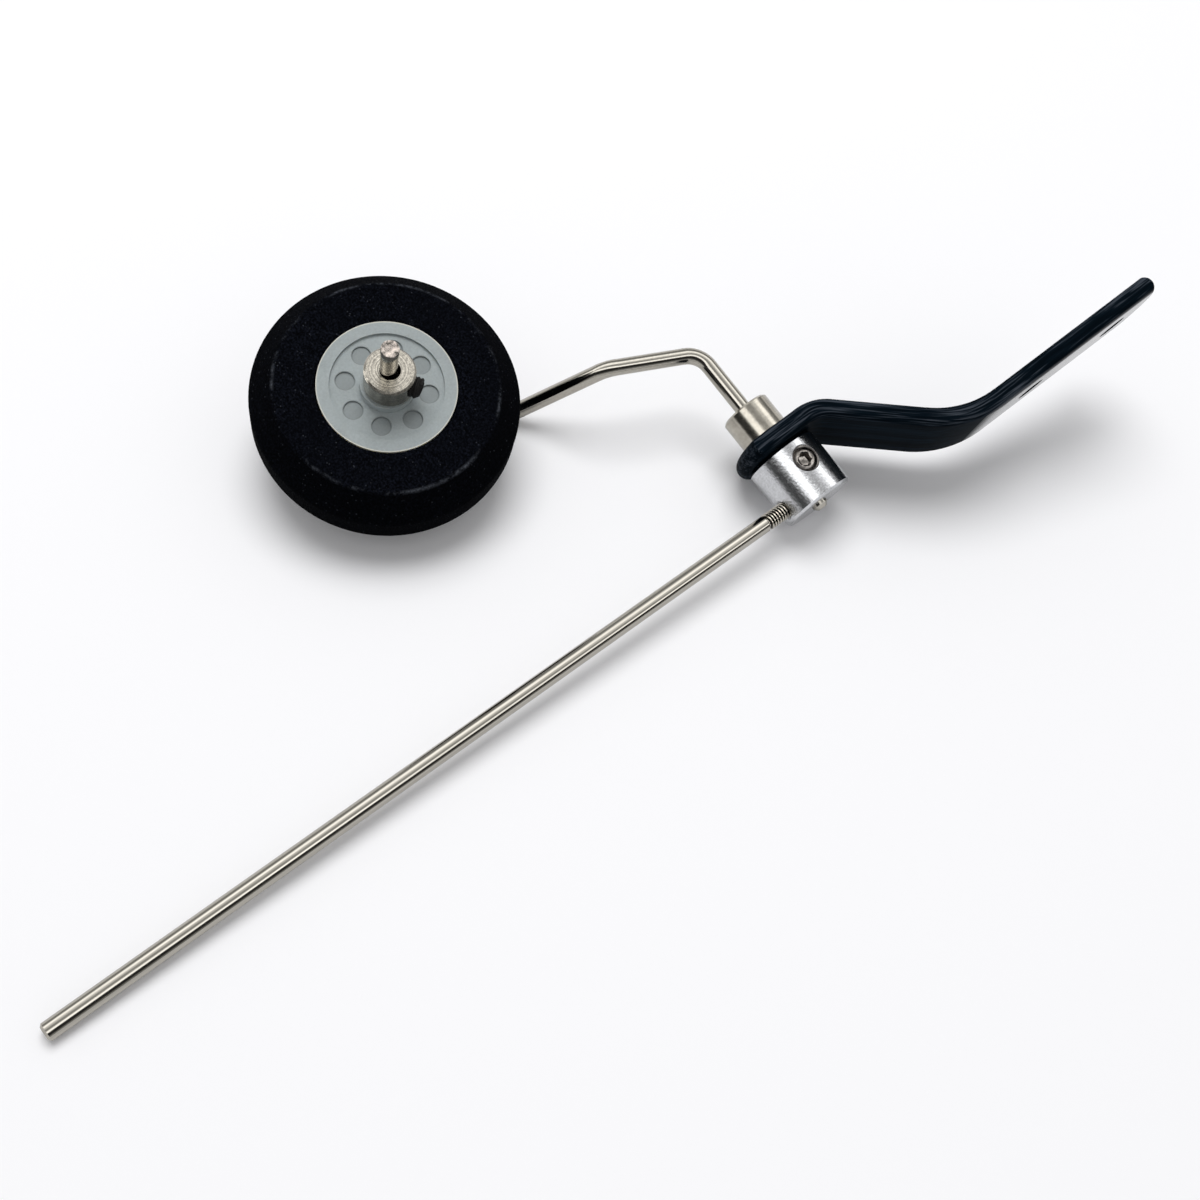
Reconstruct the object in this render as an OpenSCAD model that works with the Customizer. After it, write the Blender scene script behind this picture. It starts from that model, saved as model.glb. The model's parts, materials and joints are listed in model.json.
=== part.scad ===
// Steerable tailwheel for a model aircraft: a joggled carbon leaf carries a bent wire strut on a
// vertical pivot. The strut's lower end is the axle of a foam wheel. A hub clamped to the strut above
// the leaf carries the tiller rod that the rudder pushes.
// The origin is midway between the two mounting holes, on the leaf's upper mounting face.
// X points forwards along the aircraft, Y to its left and Z up. Sizes are in millimetres.

/* [Leaf bracket] */
// width of the leaf
leaf_w = 12.1; // [9:0.1:20]
// thickness of the laminate
leaf_t = 2.3; // [1.2:0.05:4]
// rounding along the leaf's long edges
leaf_edge_r = 0.85; // [0.1:0.05:1]
// distance from the pivot axis to the nearer mounting hole
pivot_to_hole = 29.8; // [24:0.1:45]
// distance between the two mounting holes
hole_pitch = 13.3; // [8:0.1:25]
// diameter of the mounting holes
hole_d = 3.6; // [2:0.1:5]
// leaf behind the pivot axis
tail_overhang = 5.1; // [4:0.1:12]
// leaf ahead of the front mounting hole
nose_overhang = 6; // [3:0.1:15]
// radius that the two ends are cut to, across the leaf
end_round_r = 12.5; // [8:0.1:25]
// rise from the pivot plate's upper face to the mounting face
leaf_rise = 12.2; // [8:0.1:20]
// slope of the ramp between the two flats
ramp_angle = 41.9; // [30:0.1:60]
// distance from the pivot axis to the corner where the ramp starts
pivot_to_ramp = 5.2; // [5:0.1:9]
// bend radius at the foot of the ramp, on the leaf's middle layer
foot_bend_r = 5; // [3:0.1:6]
// bend radius at the top of the ramp, on the leaf's middle layer
top_bend_r = 13; // [4:0.1:14]

/* [Wire strut] */
// diameter of the strut wire
wire_d = 2; // [1.2:0.1:3]
// bend radius of the wire, on its centre line
wire_bend_r = 3; // [2:0.1:4]
// height of the first bend's corner below the pivot plate's upper face
bend_drop = 15.5; // [12:0.1:22]
// distance of the axle behind the pivot axis
trail = 35.1; // [32:0.1:55]
// height of the axle below the pivot plate's upper face
axle_drop = 31.2; // [22:0.1:40]
// length of the arm from the first bend's corner to the sideways jog's corner
arm_len = 11.8; // [8:0.1:14]
// angle of the sideways jog that takes the wire round the wheel
jog_angle = 41.2; // [30:0.1:60]
// wire showing above the steering hub
wire_tip = 0.7; // [0.3:0.1:4]
// length of the ground taper on the wire's upper end
wire_taper = 0.45; // [0.1:0.05:1]
// diameter that the tip is ground down to
wire_tip_d = 1.1; // [0.6:0.1:1.8]
// axle stub showing outside the axle collar
axle_stub = 5.2; // [0.5:0.1:8]
// angle of the strut from straight ahead, as it lies in this pose
steer_angle = -9; // [-45:0.5:45]

/* [Pivot] */
// outer diameter of the bush in the leaf
bush_d = 3.2; // [2.6:0.1:5]
// running clearance of the wire in the bush, on the radius
bush_clear = 0.05; // [0.01:0.01:0.1]
// gap of a part that is clamped or pressed on, on the radius
seat_clear = 0.02; // [0.01:0.01:0.1]
// outer diameter of the pivot collar
pivot_collar_d = 6.2; // [5:0.1:9]
// length of the pivot collar
pivot_collar_len = 4.3; // [3.4:0.1:8]
// end play between the leaf and the pivot collar
collar_play = 0.1; // [0.05:0.05:0.5]
// end play between the leaf and the steering hub
hub_play = 0.15; // [0.1:0.05:0.6]
// chamfer on the collars
collar_chamfer = 0.25; // [0.05:0.05:0.5]

/* [Steering hub] */
// outer diameter of the steering hub
hub_d = 9.1; // [7:0.1:12]
// length of the steering hub
hub_len = 7.65; // [7:0.05:14]
// chamfer at the lower end of the hub
hub_foot_chamfer = 0.3; // [0.1:0.05:0.8]
// chamfer at the upper end of the hub
hub_top_chamfer = 0.3; // [0.1:0.05:0.8]
// height of the hub's set screw above the hub's lower end
hub_screw_h = 2.8; // [2.2:0.1:4]
// turn of the hub's set screw from square to the rod
hub_screw_turn = 4; // [-20:0.5:20]
// countersink round the hub's set screw, on the diameter
screw_sink = 0.5; // [0.1:0.05:1]
// diameter of the tiller rod
rod_d = 2; // [1.4:0.1:3]
// root diameter of the rod's thread
rod_root_d = 1.45; // [1:0.05:2.4]
// length of the thread, from its end in the hub
rod_thread_len = 6; // [4:0.1:12]
// depth of the countersink at the mouth of the rod's hole
rod_sink = 0.6; // [0.1:0.05:0.8]
// depth of the thread in the hub
rod_seat = 3; // [1.5:0.1:3.2]
// turn of the hub and its rod on the wire, from the strut's own plane
hub_turn = -6.4; // [-45:0.1:45]
// distance of the rod's axis below the hub's upper end
rod_below_top = 1.75; // [1.5:0.1:4]
// distance of the rod's free end from the pivot axis
rod_reach = 101.7; // [60:0.5:150]
// chamfer on the rod's free end
rod_chamfer = 0.25; // [0.05:0.05:0.5]
// chamfer where the shank meets the thread
rod_shoulder = 0.15; // [0.05:0.05:0.25]

/* [Set screws] */
// thread diameter of the pivot's two set screws
pivot_screw_d = 3; // [2:0.1:3.2]
// hex socket of the pivot's set screws, across flats
pivot_socket = 1.5; // [0.9:0.1:2]
// depth of a hex socket
socket_depth = 1.2; // [0.5:0.1:1.5]
// how far a flush set screw lies below its rim
screw_sunk = 0.35; // [0.1:0.05:0.8]
// thread diameter of the axle collar's set screw
axle_screw_d = 2.5; // [1.6:0.1:2.8]
// hex socket of the axle collar's set screw, across flats
axle_socket = 1.3; // [0.7:0.1:1.5]
// how far the axle collar's set screw stands out of the collar
axle_screw_out = 0.9; // [0.2:0.1:2]
// turn of the axle collar's set screw from straight ahead, upwards
axle_screw_turn = 58; // [0:1:359]

/* [Wheel] */
// outer diameter of the tyre
tyre_d = 30.9; // [26:0.1:50]
// width of the tyre over its flat sides
tyre_w = 10.4; // [8:0.1:16]
// diameter of the flat side of the tyre
tyre_side_d = 25.5; // [18:0.1:26]
// width of the tread band
tread_w = 3.9; // [0.5:0.1:8]
// gap between the foam and the wheel hub
tyre_clear = 0.05; // [0.02:0.01:0.2]
// diameter of the rim flange
rim_d = 15.9; // [14:0.1:18]
// thickness of the rim flange
rim_t = 1; // [0.6:0.05:2]
// inside diameter of the raised ring on the rim flange
rim_ring_d = 13; // [12:0.1:14]
// depth of the web's face below the rim's face
web_sunk = 0.35; // [0.1:0.05:1]
// thickness of the web
web_t = 1.2; // [0.8:0.05:2]
// outer diameter of the drum that carries the tyre
drum_d = 12.6; // [12.4:0.1:13.8]
// wall of the drum
drum_wall = 1; // [0.6:0.05:1.4]
// outer diameter of the tube round the axle
axle_tube_d = 5; // [4:0.1:6]
// diameter of the boss that meets the collar
boss_d = 6.2; // [6:0.1:7]
// how far the boss stands out of the rim's face
boss_out = 0.75; // [0.1:0.05:1.5]
// running clearance of the wheel on the axle, on the radius
axle_clear = 0.06; // [0.01:0.01:0.1]
// end play of the wheel on the axle, at each side
wheel_play = 0.2; // [0.1:0.05:0.6]
// number of round marks in the web
mark_count = 8; // [4:1:10]
// diameter of a round mark
mark_d = 2.2; // [1:0.1:2.2]
// depth of a round mark
mark_depth = 0.2; // [0.05:0.05:0.4]
// circle that the round marks lie on, as a diameter
mark_pcd = 9.5; // [9.2:0.1:10.2]
// turn of the wheel in this pose
wheel_turn = 43.5; // [0:0.5:359.5]

/* [Axle collar] */
// outer diameter of the axle collar
axle_collar_d = 5.8; // [5:0.1:8]
// length of the axle collar
axle_collar_len = 3.5; // [3.2:0.1:6]
// bore of the axle collar, which its screw pulls over to one side
axle_collar_bore = 2.4; // [2.2:0.05:3.4]

/* [Hidden] */
$fn = 72;
// a cut reaches this far past the face that it opens
over = 1;
// a bend is this much fuller than its straights, and laps this far over them
swell = 0.01;
lap = 0.1;
// chamfers at a set screw's point and rim, as shares of its diameter
screw_point = 0.15;
screw_rim = 0.06;
// the least flat that is left between two rounded edges of the leaf
edge_flat = 0.1;
// the rounding of the leaf's ends is this much fuller than half its thickness
end_full = 0.1;
wire_r = wire_d / 2;
// the pivot, from the origin
pivot_x = -(pivot_to_hole + hole_pitch / 2);
plate_z = -leaf_rise;
// the leaf's run between its two corners, and the lengths that its bends take from the flats
ramp_run = leaf_rise / tan(ramp_angle);
ramp_len = leaf_rise / sin(ramp_angle);
foot_take = foot_bend_r * tan(ramp_angle / 2);
top_take = top_bend_r * tan(ramp_angle / 2);
leaf_nose = pivot_to_hole + hole_pitch + nose_overhang;
plate_len = tail_overhang + pivot_to_ramp - foot_take;
flange_len = leaf_nose - pivot_to_ramp - ramp_run - top_take;
// the strut's path, corner to corner
arm_angle = atan2(axle_drop - bend_drop, trail);
arm_total = trail / cos(arm_angle);
first_turn = 90 - arm_angle;
hub_top = hub_play + hub_len;
rod_h = hub_top - rod_below_top;
wheel_half = tyre_w / 2;
axle_start = wheel_half + boss_out + wheel_play;
jog_off = axle_start + wire_bend_r;
jog_run = jog_off / tan(jog_angle);
jog_len = jog_off / sin(jog_angle);
first_take = wire_bend_r * tan(first_turn / 2);
jog_take = wire_bend_r * tan(jog_angle / 2);
axle_collar_z = axle_start;
axle_end = axle_collar_z + axle_collar_len + axle_stub;
// the axle collar's set screw pulls the collar over until its bore meets the wire
collar_pull = axle_collar_bore / 2 - wire_r - seat_clear;

// frames of the moving parts
module at_pivot() {
    translate([pivot_x, 0, plate_z]) children();
}

module steered() {
    at_pivot() rotate([0, 0, steer_angle]) children();
}

// the steering hub and what it holds
module on_hub() {
    steered() rotate([0, 0, hub_turn]) children();
}

// the wheel's middle, with the axle along Z towards the collar
module at_axle() {
    steered() translate([-trail, 0, -axle_drop]) rotate([-90, 0, 0]) children();
}

// a cylinder with a chamfer at each end, by its diameter and height
module turned(d, h, low, high) {
    rotate_extrude()
        polygon([[0, 0], [d / 2 - low, 0], [d / 2, low], [d / 2, h - high], [d / 2 - high, h], [0, h]]);
}

// a set screw along Z from its point to its socket
module set_screw(d, len, socket) {
    difference() {
        turned(d, len, d * screw_point, d * screw_rim);
        translate([0, 0, len - socket_depth])
            cylinder(d = socket / cos(30), h = socket_depth + over, $fn = 6);
    }
}

// the leaf's cross-section, lying on the X axis with its thickness along Y
module leaf_section(grow = 0) {
    edge = min(leaf_edge_r, (leaf_t - edge_flat) / 2);
    half_w = leaf_w / 2 - edge;
    half_t = leaf_t / 2 - edge;
    square([leaf_w + 2 * grow, 2 * half_t], center = true);
    square([2 * half_w, leaf_t + 2 * grow], center = true);
    for (x = [-half_w, half_w], y = [-half_t, half_t])
        translate([x, y]) circle(edge + grow);
}

// one straight of the leaf, then what follows it; the local Z axis runs along the leaf
module leaf_straight(len) {
    linear_extrude(height = len) leaf_section();
    translate([0, 0, len]) children();
}

// one bend of the leaf towards its local Y, up for a positive angle, then what follows it
module leaf_bend(r, angle) {
    side = sign(angle);
    turn = abs(angle);
    lap_turn = lap / r * 180 / PI;
    translate([0, side * r, 0]) rotate([90, 0, -side * 90]) rotate([0, 0, -lap_turn])
        rotate_extrude(angle = turn + 2 * lap_turn) translate([r, 0]) rotate(90) leaf_section(swell);
    translate([0, side * r * (1 - cos(turn)), r * sin(turn)]) rotate([-angle, 0, 0]) children();
}

// a round end for the leaf, rounded over its thickness too; the upper face lies at height 0
module leaf_end() {
    rim_r = leaf_t / 2 + end_full;
    rotate_extrude() {
        translate([0, -leaf_t - over]) square([end_round_r - rim_r, leaf_t + 2 * over]);
        translate([end_round_r - rim_r, -leaf_t / 2]) circle(rim_r);
    }
}

// all that the two ends leave of the leaf
module leaf_limits() {
    nose_c = leaf_nose - end_round_r;
    translate([end_round_r - tail_overhang, 0, 0]) leaf_end();
    translate([nose_c, 0, leaf_rise]) leaf_end();
    translate([0, -leaf_w, -leaf_t - 2 * over]) cube([nose_c, 2 * leaf_w, leaf_rise + leaf_t + 4 * over]);
}

module leaf_bracket() {
    color([0.06, 0.07, 0.09])
    at_pivot()
    difference() {
        intersection() {
            translate([-tail_overhang - over, 0, -leaf_t / 2]) rotate([90, 0, 90])
                leaf_straight(plate_len + over)
                leaf_bend(foot_bend_r, ramp_angle)
                leaf_straight(ramp_len - foot_take - top_take)
                leaf_bend(top_bend_r, -ramp_angle)
                leaf_straight(flange_len + over);
            leaf_limits();
        }
        translate([0, 0, -leaf_t - over])
            cylinder(d = bush_d + 2 * seat_clear, h = leaf_t + 2 * over);
        for (x = [pivot_to_hole, pivot_to_hole + hole_pitch])
            translate([x, 0, leaf_rise - leaf_t - over])
                cylinder(d = hole_d, h = leaf_t + 2 * over);
    }
}

module pivot_bush() {
    color([0.78, 0.62, 0.3])
    at_pivot()
    translate([0, 0, -leaf_t])
    difference() {
        cylinder(d = bush_d, h = leaf_t);
        translate([0, 0, -over]) cylinder(r = wire_r + bush_clear, h = leaf_t + 2 * over);
    }
}

// one straight of the wire along the local Z axis, then what follows it
module wire_straight(len) {
    cylinder(r = wire_r, h = len);
    translate([0, 0, len]) children();
}

// one bend of the wire towards the local X axis, then what follows it
module wire_bend(angle) {
    r = wire_bend_r;
    lap_turn = lap / r * 180 / PI;
    translate([r, 0, 0]) rotate([90, 0, 180]) rotate([0, 0, -lap_turn])
        rotate_extrude(angle = angle + 2 * lap_turn) translate([r, 0]) circle(wire_r + swell);
    translate([r * (1 - cos(angle)), 0, r * sin(angle)]) rotate([0, angle, 0]) children();
}

module strut_wire() {
    top = hub_top + wire_tip;
    color([0.72, 0.7, 0.66])
    steered()
    translate([0, 0, top - wire_taper]) {
        cylinder(r1 = wire_r, r2 = wire_tip_d / 2, h = wire_taper);
        rotate([180, 0, 180])
            wire_straight(top - wire_taper + bend_drop - first_take)
            wire_bend(first_turn)
            wire_straight(arm_len - first_take - jog_take)
            rotate([0, 0, -90]) wire_bend(jog_angle)
            wire_straight(jog_len - 2 * jog_take)
            rotate([0, 0, 180]) wire_bend(jog_angle)
            wire_straight(arm_total - arm_len - jog_run - jog_take - wire_bend_r)
            wire_bend(90)
            wire_straight(axle_start + axle_end);
    }
}

module pivot_collar() {
    screw_z = pivot_collar_len / 2;
    color([0.75, 0.73, 0.68])
    steered()
    translate([0, 0, -leaf_t - collar_play - pivot_collar_len])
    difference() {
        turned(pivot_collar_d, pivot_collar_len, collar_chamfer, collar_chamfer);
        translate([0, 0, -over]) cylinder(r = wire_r + seat_clear, h = pivot_collar_len + 2 * over);
        translate([0, 0, screw_z]) rotate([90, 0, 0])
            cylinder(d = pivot_screw_d + 2 * seat_clear, h = pivot_collar_d);
    }
}

module pivot_collar_screw() {
    start = wire_r + 2 * seat_clear;
    color([0.3, 0.3, 0.31])
    steered()
    translate([0, 0, -leaf_t - collar_play - pivot_collar_len / 2]) rotate([90, 0, 0])
        translate([0, 0, start])
            set_screw(pivot_screw_d, pivot_collar_d / 2 - screw_sunk - start, pivot_socket);
}

module steering_hub() {
    sink_d = pivot_screw_d + screw_sink;
    color([0.82, 0.83, 0.84])
    on_hub()
    difference() {
        translate([0, 0, hub_play]) turned(hub_d, hub_len, hub_foot_chamfer, hub_top_chamfer);
        cylinder(r = wire_r + seat_clear, h = hub_top + over);
        rotate([0, 0, hub_screw_turn]) translate([0, 0, hub_play + hub_screw_h]) rotate([-90, 0, 0]) {
            cylinder(d = pivot_screw_d + 2 * seat_clear, h = hub_d);
            translate([0, 0, hub_d / 2 - screw_sink])
                cylinder(d1 = pivot_screw_d, d2 = sink_d + screw_sink, h = 2 * screw_sink);
        }
        translate([-hub_d / 2 + rod_seat + seat_clear, 0, rod_h]) rotate([0, -90, 0])
            cylinder(d = rod_root_d + 2 * seat_clear, h = hub_d);
        translate([-hub_d / 2 + rod_sink, 0, rod_h]) rotate([0, -90, 0])
            cylinder(d1 = rod_root_d, d2 = rod_root_d + 4 * rod_sink, h = 2 * rod_sink);
    }
}

module steering_hub_screw() {
    start = wire_r + 2 * seat_clear;
    color([0.7, 0.7, 0.7])
    on_hub()
    rotate([0, 0, hub_screw_turn]) translate([0, start, hub_play + hub_screw_h]) rotate([-90, 0, 0])
        set_screw(pivot_screw_d, hub_d / 2 - screw_sunk - start, pivot_socket);
}

module tiller_rod() {
    start = hub_d / 2 - rod_seat;
    shank = start + rod_thread_len;
    color([0.74, 0.72, 0.68])
    on_hub()
    translate([0, 0, rod_h]) rotate([0, -90, 0]) {
        translate([0, 0, start]) cylinder(d = rod_root_d, h = rod_thread_len);
        translate([0, 0, shank]) turned(rod_d, rod_reach - shank, rod_shoulder, rod_chamfer);
    }
}

module tyre() {
    bore_r = drum_d / 2 + tyre_clear;
    rim_r = rim_d / 2 + tyre_clear;
    rim_z = wheel_half - rim_t - tyre_clear;
    color([0.05, 0.05, 0.06])
    at_axle()
    rotate_extrude()
        polygon([
            [bore_r, -rim_z], [rim_r, -rim_z], [rim_r, -wheel_half], [tyre_side_d / 2, -wheel_half],
            [tyre_d / 2, -tread_w / 2], [tyre_d / 2, tread_w / 2], [tyre_side_d / 2, wheel_half],
            [rim_r, wheel_half], [rim_r, rim_z], [bore_r, rim_z]
        ]);
}

// one half of the moulded wheel hub, from the wheel's middle to the rim's face
module hub_half() {
    face = wheel_half;
    web = face - web_sunk;
    inner = web - web_t;
    bore_r = wire_r + axle_clear;
    drum_r = drum_d / 2;
    difference() {
        rotate_extrude()
            polygon([
                [bore_r, 0], [axle_tube_d / 2, 0], [axle_tube_d / 2, inner], [drum_r - drum_wall, inner],
                [drum_r - drum_wall, 0], [drum_r, 0], [drum_r, face - rim_t], [rim_d / 2, face - rim_t],
                [rim_d / 2, face], [rim_ring_d / 2, face], [rim_ring_d / 2, web], [boss_d / 2, web],
                [boss_d / 2, face + boss_out], [bore_r, face + boss_out]
            ]);
        for (i = [0 : mark_count - 1])
            rotate([0, 0, i * 360 / mark_count - wheel_turn])
                translate([mark_pcd / 2, 0, web - mark_depth])
                    cylinder(d = mark_d, h = mark_depth + over);
    }
}

module wheel_hub_outer() {
    color([0.72, 0.75, 0.76])
    at_axle() hub_half();
}

module wheel_hub_inner() {
    color([0.72, 0.75, 0.76])
    at_axle() mirror([0, 0, 1]) hub_half();
}

module axle_collar() {
    color([0.75, 0.73, 0.68])
    at_axle()
    translate([0, 0, axle_collar_z]) rotate([0, 0, -axle_screw_turn]) translate([collar_pull, 0, 0])
    difference() {
        turned(axle_collar_d, axle_collar_len, collar_chamfer, collar_chamfer);
        translate([0, 0, -over]) cylinder(d = axle_collar_bore, h = axle_collar_len + 2 * over);
        translate([0, 0, axle_collar_len / 2]) rotate([0, 90, 0])
            cylinder(d = axle_screw_d + 2 * seat_clear, h = axle_collar_d);
    }
}

module axle_collar_screw() {
    start = wire_r + 2 * seat_clear;
    color([0.04, 0.04, 0.04])
    at_axle()
    translate([0, 0, axle_collar_z + axle_collar_len / 2]) rotate([0, 0, -axle_screw_turn])
        rotate([0, 90, 0]) translate([0, 0, start])
            set_screw(axle_screw_d, collar_pull + axle_collar_d / 2 + axle_screw_out - start, axle_socket);
}

leaf_bracket();
pivot_bush();
strut_wire();
pivot_collar();
pivot_collar_screw();
steering_hub();
steering_hub_screw();
tiller_rod();
tyre();
wheel_hub_outer();
wheel_hub_inner();
axle_collar();
axle_collar_screw();
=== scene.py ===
"""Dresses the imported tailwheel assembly: finishes, tyre, screws, rod thread, cut axle end and studio."""

import json
import math

import bmesh
import bpy
from bpy.props import FloatProperty, FloatVectorProperty, PointerProperty
from mathutils import Matrix, Vector, noise


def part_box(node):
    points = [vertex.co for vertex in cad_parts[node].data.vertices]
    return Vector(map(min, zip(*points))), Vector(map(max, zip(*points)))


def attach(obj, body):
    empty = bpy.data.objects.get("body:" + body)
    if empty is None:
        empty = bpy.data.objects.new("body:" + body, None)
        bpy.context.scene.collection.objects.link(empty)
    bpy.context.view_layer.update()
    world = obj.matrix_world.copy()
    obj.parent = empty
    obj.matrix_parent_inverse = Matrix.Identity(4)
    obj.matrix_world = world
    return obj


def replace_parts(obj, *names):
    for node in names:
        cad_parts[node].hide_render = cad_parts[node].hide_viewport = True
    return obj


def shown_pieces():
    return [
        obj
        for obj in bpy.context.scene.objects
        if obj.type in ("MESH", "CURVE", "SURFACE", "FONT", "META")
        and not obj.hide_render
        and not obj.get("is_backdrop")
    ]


bl_info = {
    "name": "Tailwheel assembly",
    "version": (1, 0, 0),
    "blender": (4, 5, 0),
    "location": "3D View > Sidebar > Tailwheel",
    "description": "Dresses the packed tailwheel assembly and sets up its studio",
    "category": "Object",
}

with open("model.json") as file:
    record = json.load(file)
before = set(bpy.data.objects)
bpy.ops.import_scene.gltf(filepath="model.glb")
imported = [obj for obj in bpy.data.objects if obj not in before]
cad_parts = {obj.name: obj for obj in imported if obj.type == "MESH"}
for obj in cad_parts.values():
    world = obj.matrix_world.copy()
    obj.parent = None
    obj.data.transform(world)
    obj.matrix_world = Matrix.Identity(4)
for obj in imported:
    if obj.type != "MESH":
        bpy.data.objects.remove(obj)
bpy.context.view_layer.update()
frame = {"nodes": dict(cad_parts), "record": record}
NODES = frame["nodes"]
JOINTS = {joint["name"]: joint for joint in frame["record"]["behaviour"]["joints"]}
MOUNTS = {mount["name"]: mount for mount in frame["record"]["mounts"]}
MM = 0.001

# the pivot's upper face, the axle's middle and the tiller rod's line, from the frame
PIVOT = Vector(JOINTS["steering"]["pos_m"])
AXLE = Vector(JOINTS["wheel_spin"]["pos_m"])
AXLE_DIR = Vector(JOINTS["wheel_spin"]["axis"]).normalized()
ROD_DIR = Vector(MOUNTS["tiller_shank"]["axis"]).normalized()
ROD_START = Vector((PIVOT.x, PIVOT.y, MOUNTS["tiller_shank"]["pos_m"][2]))
UP = Vector((0, 0, 1))
# ahead in the strut's own frame, and the wheel's frame with its axle along Z
AHEAD = AXLE_DIR.cross(UP)
WHEEL = Matrix.Translation(AXLE) @ Matrix((AHEAD, -UP, AXLE_DIR)).transposed().to_4x4()

# the leaf's ramp: how steep it is and where its line leaves the pivot plate
RAMP_SLOPE = math.tan(math.radians(41.9))
RAMP_START = PIVOT.x + 5.2 * MM
# how softly it bends at its foot and at its head
RAMP_FOOT = 1.7 * MM
RAMP_HEAD = 4.5 * MM
# the round marks that the mould's pins left on the wheel hub, and the edge of its rim, where a highlight is
# painted
PIN_COUNT = 8
PIN_CIRCLE_R = 4.75 * MM
PIN_R = 1.1 * MM
PIN_TURN = math.radians(43.5)
RIM_EDGE_R = 7.9 * MM
# how far the set screws of the hub and of the axle collar are turned from square
HUB_SCREW_TURN = math.radians(4)
AXLE_SCREW_TURN = math.radians(58)
# the rings of the axle's torn end: share of the wire's radius and roughness in millimetres
TORN_RINGS = ((1.0, 0.05), (0.94, 0.05), (0.75, 0.06), (0.5, 0.07), (0.25, 0.06), (0.08, 0.03))

# the camera stands where the photograph was taken from
CAMERA_RIGHT = Vector((0.79314, 0.04167, 0.60761))
CAMERA_DOWN = Vector((-0.59195, -0.18195, 0.78517))
CAMERA_AHEAD = Vector((0.14328, -0.98242, -0.11964))
CAMERA_TURN = Matrix((CAMERA_RIGHT, -CAMERA_DOWN, -CAMERA_AHEAD)).transposed().to_4x4()
CAMERA_POS = Vector((-89.841, 173.602, 10.279)) * MM
CAMERA_LENS = 45.193
# on the table the part rests on its hub, the end of its rod and the wire beside its wheel
TABLE_NORMAL = Vector((0.292, 0.918, -0.267)).normalized()
TABLE_MIDDLE = Vector((-60, 0, -20)) * MM
TABLE_HALF = 0.5
TABLE_GAP = 0.1 * MM
# one broad lamp above the picture, and the tent round it
LIGHT_MIDDLE = Vector((-60, 5, -20)) * MM
LAMP_OFFSET = -0.62 * CAMERA_DOWN - 0.54 * CAMERA_AHEAD + 0.02 * CAMERA_RIGHT
LAMP_SIZE = 0.6
LAMP_POWER = 4.5
TENT_R = 1.2
WORLD_LEVEL = 0.47
# degrees above the camera's line, and how bright the tent's cloth is there
TENT_LEVELS = (
    (-90, 0.08), (-70, 0.14), (-48, 0.17), (-40, 0.02), (-5, 0.015), (-3, 1.0), (12, 1.0), (16, 0.24),
    (30, 0.22), (38, 0.48), (45, 0.5), (51, 1.0), (64, 1.0), (71, 0.28), (90, 0.12),
)

# the Mix node's colour sockets, which share their names with its other sockets
MIX_A = 6
MIX_B = 7
MIX_OUT = 2
# vertices nearer than this are one
WELD = 0.002 * MM


def linear(code):
    """Turns an sRGB hex colour into linear red, green and blue."""
    parts = [int(code[i:i + 2], 16) / 255 for i in (1, 3, 5)]
    return [c / 12.92 if c <= 0.04045 else ((c + 0.055) / 1.055) ** 2.4 for c in parts]


def tint(code, name, description):
    """Makes a colour property from a hex code."""
    return FloatVectorProperty(name=name, description=description, default=linear(code),
                               subtype="COLOR", size=3, min=0.0, max=1.0)


def length(mm, name, description):
    """Makes a length property from a size in millimetres."""
    return FloatProperty(name=name, description=description, default=mm * MM,
                         min=0.0, precision=5, subtype="DISTANCE", unit="LENGTH")


class TailwheelSizes(bpy.types.PropertyGroup):
    """Sizes of the pieces that are modelled here."""

    tyre_d: length(30.9, "Tyre diameter", "Across the tread")
    tyre_side_d: length(25.5, "Sidewall diameter", "Where the flat side meets the shoulder")
    tyre_w: length(10.4, "Tyre width", "From side to side")
    tread_w: length(3.9, "Tread width", "Flat band round the middle")
    tyre_bore_d: length(12.7, "Tyre bore", "Across the seat on the hub's drum")
    rim_seat_d: length(16.0, "Rim seat", "Across the recess that takes the rim")
    rim_seat_t: length(1.05, "Rim seat depth", "Depth of the recess that takes the rim")
    tyre_round: length(0.35, "Tyre edge", "Radius that softens the foam's edges")
    thread_start: length(3.2, "Thread start", "From the pivot's axis, inside the hub")
    thread_end: length(7.5, "Thread end", "From the pivot's axis, where the shank begins")
    thread_pitch: length(0.4, "Thread pitch", "From crest to crest")
    thread_d: length(2.06, "Thread diameter", "Across the rolled crests")
    thread_root_d: length(1.4, "Thread root", "Across the bottom of the thread")
    screw_start: length(1.04, "Screw point", "From a wire's axis to the point of the screw that clamps it")
    screw_pitch: length(0.45, "Screw pitch", "From crest to crest of the set screws")
    hub_screw_d: length(3.0, "Hub screw", "Across the set screws of the hub and the pivot collar")
    hub_screw_out: length(4.2, "Hub screw reach", "From the pivot's axis to the screw's socket end")
    hub_screw_h: length(2.95, "Hub screw height", "From the leaf's upper face to the screw's axis")
    collar_screw_out: length(2.75, "Collar screw reach", "From the pivot's axis to the screw's socket end")
    axle_screw_d: length(2.5, "Axle screw", "Across the set screw of the axle collar")
    axle_screw_out: length(3.98, "Axle screw reach", "From the axle to the screw's socket end")
    axle_screw_z: length(7.9, "Axle screw place", "From the wheel's middle along the axle")
    socket_depth: length(1.2, "Socket depth", "Depth of the hexagon sockets")
    hub_socket: length(1.5, "Hub screw socket", "Across the flats, hub and pivot collar")
    axle_socket: length(1.3, "Axle screw socket", "Across the flats, axle collar")
    axle_end: length(14.85, "Axle end", "From the wheel's middle to the snipped end")
    wire_d: length(2.0, "Wire diameter", "Across the strut's wire")


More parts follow.
